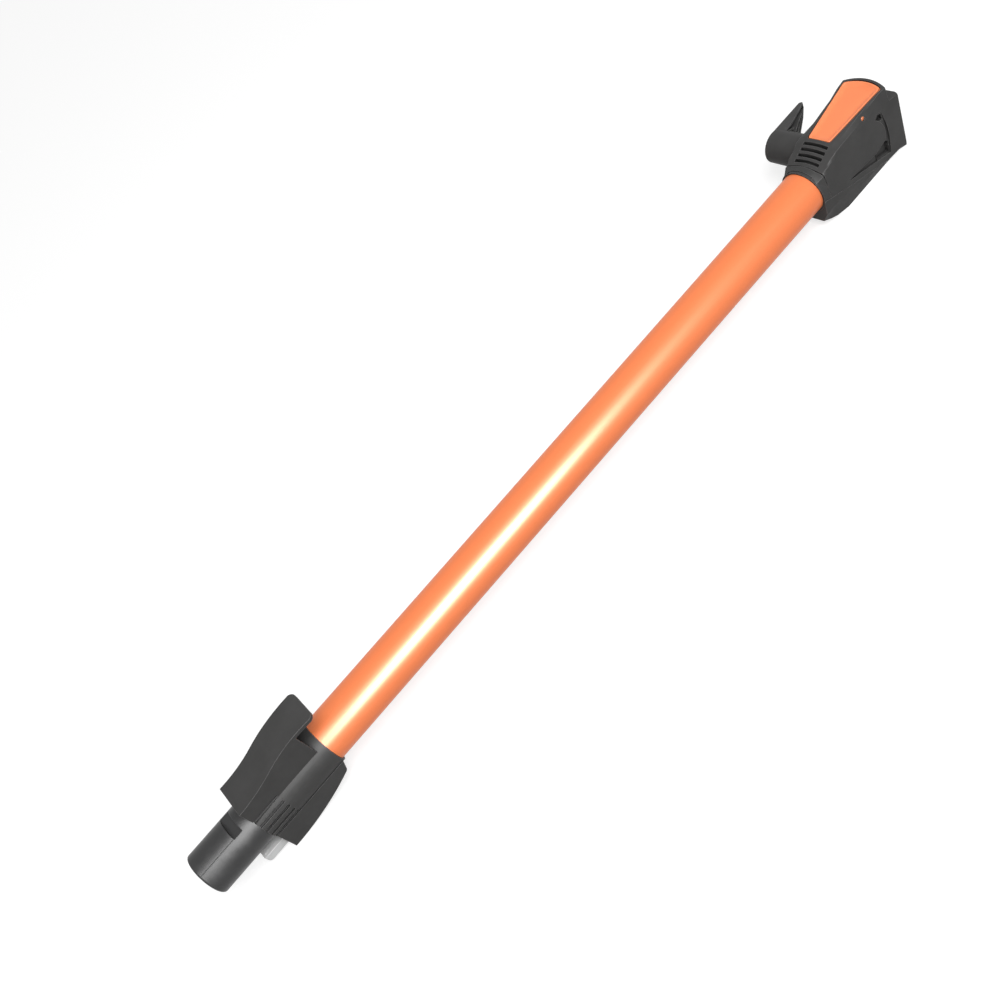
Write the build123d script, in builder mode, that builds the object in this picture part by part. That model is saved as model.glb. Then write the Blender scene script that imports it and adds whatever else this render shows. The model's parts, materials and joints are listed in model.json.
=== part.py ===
from build123d import *
from math import asin, atan2, degrees, radians, sin, tan
import os

# A stick vacuum's extension wand, lying on its back: X runs along the tube from the spigot to the
# head, Z up through the release button, and Y towards the cord hook. The origin is on the tube's
# axis, in the shoulder face that a mating socket stops against.

# Tube
tube_diameter = 35.0
tube_wall = 1.2
tube_shown = 534.0
tube_in_head = 30.0

# The heights and half widths below are drawn round a tube of this radius, and move out with the tube
drawn_radius = 17.5

# Fits: between pieces of one body, round pieces that move, and on a turning shaft
seat_gap = 0.1
slide_gap = 0.4
running_gap = 0.05

# Spigot
spigot_reach = 49.0
spigot_seat = 20.0
spigot_wall = 2.5
spigot_edge = 1.6
nose_reach = 14.0
notch_far = 16.8
notch_near = 9.0
notch_floor = 14.0
notch_skin = 1.8
relief_width = 0.8
relief_depth = 0.6
gasket_thickness = 1.6

# Lower housing
sleeve_length = 66.0
sleeve_wall = 1.5
shield_half_width = 14.5
shield_wall = 2.2
shield_plate = 3.0
shield_side_length = 60.0
shield_length = 78.5
shield_height = 30.2
shield_bend_x = 33.0
shield_low_radius = 102.0
shield_high_radius = 105.0
shield_corner = 5.0
shield_waist = 0.75
shield_floor = 2.5
groove_count = 5
groove_length = 26.0
groove_width = 1.4
groove_depth = 0.9
groove_first_angle = 57.0
groove_pitch_angle = 11.6

# Rear cover of the lower housing
rest_depth = 31.2
cover_half_width = 17.6
cover_wall = 2.2
cover_length = 65.2
cover_flat = 5.0
cover_shoulder_x = 61.5
cover_shoulder_depth = 18.8
cover_middle_x = 34.0
cover_middle_depth = 27.6
cover_rim_depth = 8.6
cover_edge = 1.2
cover_top_edge = 3.5

# Screws of the two covers and the cord hook, and the shorter ones that pin the tube's ends
screw_shank = 2.9
screw_head = 5.4
screw_head_height = 2.0
screw_length = 9.5
screw_bite = 5.0
boss_diameter = 7.0
boss_depth = 21.0
lower_screw_x = 31.0
head_screw_x = 40.0
tube_screw_x = 27.0
tube_screw_length = 3.8
cover_screw_y = 11.0
cross_length = 3.2
cross_width = 0.8
cross_depth = 0.9

# Plug on the lower housing, and the socket that takes such a plug in the head
plug_half_width = 12.2
plug_height = 7.8
plug_depth = 28.6
plug_reach = 19.0
plug_seat = 10.0
plug_corner = 3.0
plug_recess = 9.0
plug_shell = 1.5
flange_lip = 1.0
flange_thickness = 1.6
pin_diameter = 2.4
pin_shown = 7.0
pin_spacing = 11.0
socket_play = 0.5
contact_body = 15.0
contact_wall = 0.5
head_contact_x = 58.0

# Wiring through the tube
conduit_width = 9.0
conduit_height = 5.6
conduit_wall = 0.9
conduit_inset = 9.0
wire_diameter = 2.6
wire_spacing = 3.4
wire_bend = 28.0
wire_run = 12.0
wire_climb = 29.0
window_length = 22.0
window_width = 12.0
window_corner = 2.0
window_start = 36.0
head_window_start = 3.0

# Head
head_length = 93.5
collar_radius = 19.0
collar_length = 7.0
collar_groove_width = 0.6
collar_groove_depth = 0.5
socket_gap = 0.2
socket_depth = 49.0
socket_mouth_depth = 17.7
socket_mouth_gap = 0.2
duct_step = 0.2
parting_collar_depth = 4.2
parting_end_depth = 29.2
parting_length = 76.0
crown_x_offset = 84.8
crown_end_half = 18.0
mouth_top = 18.9
mouth_half_width = 20.8
mouth_corner = 3.0
seal_thickness = 2.8
seal_grip = 0.5

# Recesses in each side of the head: distance from the collar's end, and height above the axis
cheek_end_points = ((67.5, 14.0), (73.6, 5.0), (72.2, -8.6))
crescent_foot_points = ((60.8, -11.4), (60.8, -18.6), (76.2, -23.0))
mouth_band_points = ((76.2, -23.0), (77.4, -2.0), (75.0, 15.0))
crescent_top = (71.0, 17.4)
upper_hole_points = ((67.8, 14.0), (70.8, 16.4), (74.6, 14.6), (75.0, 9.6), (72.4, 9.6))
foot_hole_points = ((61.2, -11.6), (72.2, -9.4), (76.0, -12.0), (75.8, -22.4), (61.0, -18.4))
wedge_points = ((27.6, -8.4), (61.0, -11.4), (60.8, -18.6))
crescent_floor = 18.8
upper_hole_floor = 16.0
foot_hole_floor = 15.5
wedge_floor = 18.2

# Slots on the ramp below the button
slot_count = 4
slot_first = 10.0
slot_pitch = 4.2
slot_width = 2.4
slot_half_width = 10.9
slot_floor_radius = 18.6

# Release button, which rocks on two pins, with a tooth under its wide end
button_start = 28.0
button_length = 54.6
button_low_half = 10.0
button_high_half = 16.3
button_bow = 3.8
button_corner = 2.0
button_height = 26.2
button_tilt = 4.8
button_plate = 2.4
button_edge = 0.9
pocket_floor = 19.3
pivot_offset = 57.5
pivot_z = 24.0
pivot_radius = 1.6
pivot_half_length = 17.0
hub_radius = 2.4
tooth_offset = 77.2
tooth_length = 6.8
tooth_half_width = 8.0
tooth_depth = 15.6
tooth_land = 2.0
tooth_ramp = 3.9
rib_half_spacing = 5.0
rib_thickness = 1.6
rib_depth = 22.5

# Spring under the button's narrow end
spring_offset = 36.0
spring_radius = 3.0
spring_wire = 0.8
spring_turns = 4
spring_floor = 17.0

# Cord hook, which turns on a spindle on the head's side
hook_offset = 37.0
hook_radius = 13.0
hook_start = 23.0
hook_gap = 0.3
hook_end = 55.2
hook_edge = 1.2
spindle_radius = 5.0
spindle_end = 46.0
washer_radius = 6.0
washer_thickness = 1.0

# Horn of the cord hook: distances along it from the barrel's axis, and outwards from the tube's
horn_length = 47.0
horn_reach = 66.0
horn_inner_points = ((0.0, 42.5), (12.0, 44.2), (25.4, 50.8), (36.8, 56.4), (45.8, 62.2))
horn_tip_half_depth = 2.2
horn_edge = 1.4
horn_wall = 1.8
horn_pocket_start = 15.2
horn_pocket_end = 44.0
horn_rib_end = 35.0
horn_rib_thickness = 0.9

# What stands outside the tube follows its radius
tube_radius = tube_diameter / 2
girth = tube_radius - drawn_radius
notch_floor += girth
shield_height += girth
rest_depth += girth
cover_half_width += girth
cover_middle_depth += girth
cover_shoulder_depth += girth
boss_depth += girth
plug_depth += girth
collar_radius += girth
parting_end_depth += girth
mouth_top += girth
mouth_half_width += girth
crescent_floor += girth
upper_hole_floor += girth
foot_hole_floor += girth
wedge_floor += girth
slot_floor_radius += girth
button_height += girth
pocket_floor += girth
pivot_z += girth
pivot_half_length += girth
tooth_depth += girth
rib_depth += girth
spring_floor += girth
hook_start += girth
hook_end += girth
spindle_end += girth
horn_reach += girth

# Sizes and places that follow from those above
tube_bore = tube_radius - tube_wall
sleeve_bore = tube_radius + seat_gap
sleeve_radius = sleeve_bore + sleeve_wall
spigot_bore = tube_radius - spigot_wall
nose_radius = tube_bore - seat_gap
duct_radius = spigot_bore + duct_step
socket_radius = tube_radius + socket_gap
tube_start = spigot_seat + gasket_thickness + 2 * seat_gap
head_x = sleeve_length + tube_shown
tube_end = head_x + tube_in_head
head_end = head_x + head_length
plug_middle = plug_depth - plug_height / 2
wire_depth = nose_radius - conduit_height / 2
button_x = head_x + button_start
crown_x = head_x + crown_x_offset
pivot_x = head_x + pivot_offset
tooth_x = head_x + tooth_offset
spring_x = head_x + spring_offset
hook_x = head_x + hook_offset
screw_seat_depth = boss_depth - screw_bite + screw_length
screw_hole = screw_shank / 2 + running_gap
screw_clearance = screw_shank / 2 + seat_gap
lower_screws = [(lower_screw_x, -cover_screw_y), (lower_screw_x, cover_screw_y)]
head_screws = [(head_x + head_screw_x, -cover_screw_y), (head_x + head_screw_x, cover_screw_y)]
tube_screw_places = [(tube_screw_x, 0), (head_x + tube_screw_x, 0)]
lower_window = (window_start + window_length / 2, 0)
head_window = (head_x + head_window_start + window_length / 2, 0)
pin_places = [(-pin_spacing / 2, -plug_middle), (pin_spacing / 2, -plug_middle)]

os.makedirs("parts", exist_ok=True)


def save(piece, name):
    """Label a finished piece and write it as its own file."""
    piece.part.label = name
    export_step(piece.part, "parts/" + name + ".step")


# Spigot: a turned body with a relief at its shoulder and a stepped nose that goes into the tube
with BuildPart() as spigot:
    with BuildSketch(Plane.XY):
        with BuildLine():
            Polyline(
                (-spigot_reach, spigot_bore),
                (-spigot_reach, tube_radius),
                (0, tube_radius),
                (0, tube_radius - relief_depth),
                (relief_width, tube_radius - relief_depth),
                (relief_width, tube_radius - seat_gap),
                (spigot_seat, tube_radius - seat_gap),
                (spigot_seat, nose_radius),
                (spigot_seat + nose_reach, nose_radius),
                (spigot_seat + nose_reach, spigot_bore),
                close=True,
            )
        make_face()
    revolve(axis=Axis.X)
    end_edges = spigot.edges().filter_by(GeomType.CIRCLE).group_by(Axis.X)[0]
    fillet(end_edges.sort_by(SortBy.RADIUS)[-1], radius=spigot_edge)
    # The wall is thickened to a flat inside the bore, below the notch that the latch drops into
    flat_start = -notch_far - notch_skin
    flat_length = notch_far - notch_near + 2 * notch_skin
    with BuildSketch(Plane.YZ.offset(flat_start)):
        Circle(spigot_bore + spigot_wall / 2)
        with Locations((0, notch_floor - notch_skin)):
            Rectangle(tube_diameter, tube_diameter, align=(Align.CENTER, Align.MIN), mode=Mode.INTERSECT)
    extrude(amount=flat_length)
    with BuildSketch(Plane.XZ):
        with Locations(((-notch_far - notch_near) / 2, notch_floor)):
            Rectangle(notch_far - notch_near, tube_radius, align=(Align.CENTER, Align.MIN))
    extrude(amount=tube_radius, both=True, mode=Mode.SUBTRACT)
    with BuildSketch(Plane.XY.offset(-tube_diameter)):
        with Locations(tube_screw_places[0]):
            Circle(screw_hole)
    extrude(amount=tube_diameter, mode=Mode.SUBTRACT)
save(spigot, "spigot")

# Gasket between the spigot's step and the tube's end
with BuildPart() as spigot_gasket:
    with BuildSketch(Plane.YZ.offset(spigot_seat + seat_gap)):
        Circle(tube_radius)
        Circle(nose_radius + seat_gap, mode=Mode.SUBTRACT)
    extrude(amount=gasket_thickness)
save(spigot_gasket, "spigot_gasket")

# Tube, with a window near each end where the wires pass through its wall
with BuildPart() as wand_tube:
    with BuildSketch(Plane.YZ.offset(tube_start)):
        Circle(tube_radius)
        Circle(tube_bore, mode=Mode.SUBTRACT)
    extrude(amount=tube_end - tube_start)
    with BuildSketch(Plane.XY.offset(-tube_diameter)):
        with Locations(lower_window, head_window):
            RectangleRounded(window_length, window_width, window_corner)
        with Locations(*tube_screw_places):
            Circle(screw_hole)
    extrude(amount=tube_diameter, mode=Mode.SUBTRACT)
save(wand_tube, "wand_tube")

# Lower housing: a sleeve round the joint, and on its front a curved shield held off by two walls
low_turn = degrees(asin(shield_bend_x / shield_low_radius))
high_end_sine = (shield_length - shield_bend_x) / shield_high_radius - sin(radians(low_turn))
high_turn = low_turn + degrees(asin(high_end_sine))
with BuildLine() as shield_plate_outline:
    low_arc = JernArc((0, shield_height), (1, 0), shield_low_radius, low_turn)
    high_arc = JernArc(low_arc @ 1, low_arc % 1, shield_high_radius, -high_turn)
    low_back = JernArc((0, shield_height - shield_plate), (1, 0), shield_low_radius + shield_plate, low_turn)
    high_back = JernArc(low_back @ 1, low_back % 1, shield_high_radius - shield_plate, -high_turn)
    Line(low_arc @ 0, low_back @ 0)
    Line(high_arc @ 1, high_back @ 1)
with BuildLine() as shield_side_outline:
    side_low_arc = JernArc((0, shield_height), (1, 0), shield_low_radius, low_turn)
    side_high_arc = JernArc(side_low_arc @ 1, side_low_arc % 1, shield_high_radius, -high_turn)
    Polyline(side_high_arc @ 1, ((side_high_arc @ 1).X, 0), (0, 0), side_low_arc @ 0)

with BuildPart() as lower_housing:
    with BuildSketch(Plane.XZ):
        make_face(shield_plate_outline.edges())
    extrude(amount=shield_half_width, both=True)
    end_corners = lower_housing.edges().filter_by(lambda edge: abs(edge.length - shield_plate) < seat_gap)
    fillet(end_corners.group_by(Axis.X)[-1], radius=shield_corner)
    for side in (-1, 1):
        with BuildSketch(Plane.XZ.offset(side * (shield_half_width - shield_wall / 2))):
            make_face(shield_side_outline.edges())
            Rectangle(shield_side_length * 2, shield_height * 4, mode=Mode.INTERSECT)
        extrude(amount=shield_wall / 2, both=True)
    with BuildSketch(Plane.XZ):
        make_face(shield_side_outline.edges())
        Rectangle(shield_floor * 2, shield_height * 4, mode=Mode.INTERSECT)
    extrude(amount=shield_half_width, both=True)
    # The shield's sides draw in a little towards the middle of its length
    with BuildSketch():
        with BuildLine():
            shield_end_x = (high_arc @ 1).X
            waist = (shield_end_x / 2, shield_waist - shield_half_width)
            shield_end = (shield_end_x, -shield_half_width)
            waist_side = ThreePointArc((0, -shield_half_width), waist, shield_end)
            mirror(about=Plane.XZ)
            Line(waist_side @ 0, (0, shield_half_width))
            Line(waist_side @ 1, (shield_end_x, shield_half_width))
        make_face()
    extrude(amount=2 * shield_height, both=True, mode=Mode.INTERSECT)
    with BuildSketch(Plane.YZ):
        Circle(sleeve_radius)
    extrude(amount=sleeve_length)
    # Two bosses take the rear cover's screws, and a pad holds the plug off the sleeve
    with BuildSketch(Plane.XY.offset(-boss_depth)):
        with Locations(*lower_screws):
            Circle(boss_diameter / 2)
    extrude(amount=boss_depth - sleeve_radius / 2)
    with BuildSketch(Plane.XY.offset(-plug_depth + plug_height + seat_gap)):
        with Locations((plug_seat / 2 + cover_wall, 0)):
            Rectangle(plug_seat - 2 * cover_wall, plug_half_width)
    extrude(amount=plug_depth - plug_height - tube_radius)
    with BuildSketch(Plane.YZ.offset(-plug_seat)):
        Circle(sleeve_bore)
    extrude(amount=2 * sleeve_length, mode=Mode.SUBTRACT)
    with BuildSketch(Plane.XY.offset(-boss_depth)):
        with Locations(*lower_screws):
            Circle(screw_hole)
    extrude(amount=screw_bite + seat_gap, mode=Mode.SUBTRACT)
    with BuildSketch(Plane.XY.offset(-tube_diameter)):
        with Locations(lower_window):
            RectangleRounded(window_length, window_width, window_corner)
        with Locations(tube_screw_places[0]):
            Circle(screw_hole)
    extrude(amount=tube_diameter, mode=Mode.SUBTRACT)
    # Five grooves from the lower edge, on each side of the sleeve
    for side in (-1, 1):
        for index in range(groove_count):
            angle = 90 - side * (groove_first_angle + index * groove_pitch_angle)
            with BuildSketch(Plane.YZ.offset(-groove_width)):
                with Locations(Rotation(0, 0, angle)):
                    with Locations((sleeve_radius, 0)):
                        Rectangle(2 * groove_depth, groove_width)
            extrude(amount=groove_length + groove_width, mode=Mode.SUBTRACT)
save(lower_housing, "lower_housing")

# Rear cover: a hollow fairing that closes round the sleeve from behind
with BuildPart() as rear_cover:
    with BuildSketch(Plane.XZ) as cover_profile:
        with BuildLine():
            flat = Line((0, -rest_depth), (cover_flat, -rest_depth))
            middle = (cover_middle_x, -cover_middle_depth)
            back = ThreePointArc(flat @ 1, middle, (cover_shoulder_x, -cover_shoulder_depth))
            Polyline(back @ 1, (cover_length, -cover_rim_depth), (0, -cover_rim_depth), flat @ 0)
        make_face()
        fillet(cover_profile.vertices().sort_by(Axis.X)[-2], radius=cover_top_edge)
    extrude(amount=cover_half_width, both=True)
    long_edges = rear_cover.edges().filter_by(lambda edge: edge.center().Z < -cover_rim_depth - cover_edge)
    fillet(long_edges.group_by(Axis.Y)[0] + long_edges.group_by(Axis.Y)[-1], radius=cover_edge)
    with BuildSketch(Plane.XZ):
        offset(cover_profile.sketch_local, amount=-cover_wall, kind=Kind.INTERSECTION)
    extrude(amount=cover_half_width - cover_wall, both=True, mode=Mode.SUBTRACT)
    # Two pillars reach up to the housing's bosses, and hold the screws' heads below the surface
    with BuildSketch(Plane.XY.offset(-cover_middle_depth)):
        with Locations(*lower_screws):
            Circle(boss_diameter / 2)
    extrude(amount=cover_middle_depth - boss_depth - seat_gap)
    with BuildSketch(Plane.YZ.offset(-cover_wall)):
        Circle(sleeve_radius + seat_gap)
        with Locations((0, -plug_middle)):
            Rectangle(2 * (plug_half_width + seat_gap), plug_height + 2 * seat_gap)
    extrude(amount=2 * cover_wall, mode=Mode.SUBTRACT)
    with BuildSketch(Plane.YZ):
        Circle(sleeve_radius + seat_gap)
    extrude(amount=cover_length, mode=Mode.SUBTRACT)
    with BuildSketch(Plane.XY.offset(-boss_depth)):
        with Locations(*lower_screws):
            Circle(screw_clearance)
    extrude(amount=-rest_depth, mode=Mode.SUBTRACT)
    with BuildSketch(Plane.XY.offset(-screw_seat_depth)):
        with Locations(*lower_screws):
            Circle(screw_head / 2 + seat_gap)
    extrude(amount=-rest_depth, mode=Mode.SUBTRACT)
save(rear_cover, "rear_cover")

# Plug: a block that stands out below the spigot, with two pins in its open end
with BuildPart() as plug_block:
    with BuildSketch(Plane.YZ.offset(-plug_reach)):
        with Locations((0, -plug_middle)):
            Rectangle(2 * plug_half_width, plug_height)
    extrude(amount=plug_reach + plug_seat)
    end_rim = plug_block.edges().group_by(Axis.X)[0].filter_by(Axis.Y)
    fillet(end_rim.sort_by(Axis.Z)[0], radius=plug_corner)
    fillet(plug_block.edges().group_by(Axis.X)[0].filter_by(Axis.Z), radius=plug_shell)
    with BuildSketch(Plane.YZ.offset(cover_wall + seat_gap)):
        with Locations((0, -plug_middle)):
            Rectangle(2 * (plug_half_width + flange_lip), plug_height)
    extrude(amount=flange_thickness)
    with BuildSketch(Plane.YZ.offset(-plug_reach)):
        with Locations((0, -plug_middle)):
            Rectangle(2 * (plug_half_width - plug_shell), plug_height - 2 * plug_shell)
    extrude(amount=plug_recess, mode=Mode.SUBTRACT)
    with BuildSketch(Plane.YZ.offset(-plug_reach)):
        with Locations(*pin_places):
            Circle(pin_diameter / 2 + running_gap)
    extrude(amount=plug_reach + plug_seat, mode=Mode.SUBTRACT)
save(plug_block, "plug_block")

with BuildPart() as plug_pins:
    with BuildSketch(Plane.YZ.offset(plug_recess - pin_shown - plug_reach)):
        with Locations(*pin_places):
            Circle(pin_diameter / 2)
    extrude(amount=plug_reach + plug_seat - plug_recess + pin_shown)
    chamfer(plug_pins.edges().group_by(Axis.X)[0], length=pin_diameter / 5)
save(plug_pins, "plug_pins")

# Conduit: a channel along the inside of the tube's rear wall
conduit_start = window_start + window_length + conduit_inset
conduit_end = head_x + head_window_start - conduit_inset
with BuildPart() as wire_conduit:
    conduit_top = conduit_height - nose_radius
    with BuildSketch(Plane.YZ.offset(conduit_start)):
        Circle(nose_radius)
        with Locations((0, conduit_top)):
            Rectangle(conduit_width, conduit_height, align=(Align.CENTER, Align.MAX), mode=Mode.INTERSECT)
        with Locations((0, conduit_top - conduit_wall)):
            inner_width = conduit_width - 2 * conduit_wall
            inner_height = conduit_height - 2 * conduit_wall
            Rectangle(inner_width, inner_height, align=(Align.CENTER, Align.MAX), mode=Mode.SUBTRACT)
    extrude(amount=conduit_end - conduit_start)
save(wire_conduit, "wire_conduit")

# Two insulated wires run from the plug's pins, through the tube, to the contacts in the head
head_wire_end = head_x + head_contact_x - seat_gap
wire_low = window_start + window_length / 2 + wire_climb / 2
wire_high = head_x + head_window_start + window_length / 2 - wire_climb / 2
for side, name in ((-1, "live_wire"), (1, "neutral_wire")):
    far_y = side * pin_spacing / 2
    near_y = side * wire_spacing / 2
    with BuildLine() as wire_route:
        FilletPolyline(
            (plug_seat + seat_gap, far_y, -plug_middle),
            (wire_low - wire_climb, far_y, -plug_middle),
            (wire_low, near_y, -wire_depth),
            (wire_high, near_y, -wire_depth),
            (wire_high + wire_climb, far_y, -plug_middle),
            (head_wire_end, far_y, -plug_middle),
            radius=wire_bend,
        )
    with BuildPart() as wire:
        with BuildSketch(Plane(wire_route.line @ 0, z_dir=wire_route.line % 0)):
            Circle(wire_diameter / 2)
        sweep(path=wire_route.line)
    save(wire, name)

# Head: half sections from the collar to the mouth. Each gives the places of the rear corner, the
# low crease, the widest point, the high crease and the crown's edge, and then the crown's height
head_sections = [
    (0.0, (13.0, -25.6), (18.2, -17.0), (18.7, -2.0), (14.5, 11.8), (9.0, 16.2), 18.6),
    (6.0, (14.8, -27.8), (18.8, -15.5), (19.3, -1.0), (17.0, 14.6), (11.3, 16.6), 18.9),
    (12.0, (16.0, -29.6), (19.1, -15.5), (19.6, 0.0), (17.4, 18.0), (11.4, 19.2), 20.6),
    (24.0, (17.2, -31.2), (19.4, -17.0), (19.9, 0.0), (18.0, 23.2), (11.9, 24.4), 25.8),
    (29.0, (17.2, -31.2), (19.4, -18.0), (19.9, 0.0), (18.0, 23.6), (12.4, 25.8), 26.9),
    (59.0, (17.2, -31.2), (19.6, -24.0), (20.0, 0.0), (18.2, 21.6), (15.6, 28.2), 29.4),
    (76.0, (17.3, -31.2), (19.8, -27.6), (20.2, 0.0), (18.8, 19.6), (17.6, 29.6), 30.9),
    (85.0, (17.8, -31.2), (20.3, -27.8), (20.5, 0.0), (19.9, 17.9), (18.3, 30.0), 31.3),
    (93.5, (20.4, -31.2), (20.8, -28.0), (20.8, 0.0), (20.8, 16.2), (18.9, 30.4), 31.7),
]


def head_outline(section, inset):
    """One cross-section of the head, drawn inwards by the inset."""
    lifts = (inset - girth, -girth, 0, girth, girth - inset)
    corners = [(y + girth - inset, z + lift) for (y, z), lift in zip(section[1:6], lifts)]
    mirrored = [(-y, z) for y, z in reversed(corners)]
    crown = (0, section[6] + girth - inset)
    with BuildSketch(Plane.YZ.offset(head_x + section[0])) as outline:
        with BuildLine():
            ThreePointArc(corners[4], crown, mirrored[0])
            Polyline(corners[4], *reversed(corners[:4]), *reversed(mirrored[1:]), mirrored[0])
        make_face()
    return outline.sketch


# The button's outline in plan: a wedge with a bowed upper end and rounded corners
with BuildSketch() as button_outline:
    with BuildLine():
        low_left = (button_x, -button_low_half)
        low_right = (button_x, button_low_half)
        high_left = (button_x + button_length, -button_high_half)
        high_right = (button_x + button_length, button_high_half)
        Polyline(high_left, low_left, low_right, high_right)
        ThreePointArc(high_left, (button_x + button_length + button_bow, 0), high_right)
    make_face()
    fillet(button_outline.vertices(), radius=button_corner)
with BuildSketch() as button_opening:
    offset(button_outline.sketch, amount=slide_gap)

# The cover's parting line climbs from the rear of the mouth to the middle of the collar
with BuildSketch(Plane.XZ) as cover_side:
    with BuildLine():
        Polyline(
            (head_x, -parting_collar_depth),
            (head_x + parting_length, -parting_end_depth),
            (head_x + parting_length, -2 * rest_depth),
            (head_x, -2 * rest_depth),
            close=True,
        )
    make_face()

# Recesses in the sides of the head: a crescent between the cheek's round end and the mouth, a hole
# at each end of it, and a wedge that runs forward from its lower end
def on_head(points):
    """Move points given from the collar's end to the head's place on the tube."""
    return [(head_x + x, z) for x, z in points]


with BuildSketch(Plane.XZ) as crescent:
    with BuildLine():
        cheek_end = ThreePointArc(*on_head(cheek_end_points))
        Polyline(cheek_end @ 1, *on_head(crescent_foot_points))
        band_edge = ThreePointArc(*on_head(mouth_band_points))
        ThreePointArc(band_edge @ 1, *on_head([crescent_top]), cheek_end @ 0)
    make_face()
with BuildSketch(Plane.XZ) as upper_hole:
    with BuildLine():
        Polyline(*on_head(upper_hole_points), close=True)
    make_face()
    fillet(upper_hole.vertices(), radius=slide_gap)
with BuildSketch(Plane.XZ) as foot_hole:
    with BuildLine():
        Polyline(*on_head(foot_hole_points), close=True)
    make_face()
    fillet(foot_hole.vertices(), radius=slide_gap)
with BuildSketch(Plane.XZ) as wedge:
    with BuildLine():
        Polyline(*on_head(wedge_points), close=True)
    make_face()
side_recesses = (
    (crescent, crescent_floor),
    (upper_hole, upper_hole_floor),
    (foot_hole, foot_hole_floor),
    (wedge, wedge_floor),
)

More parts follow.
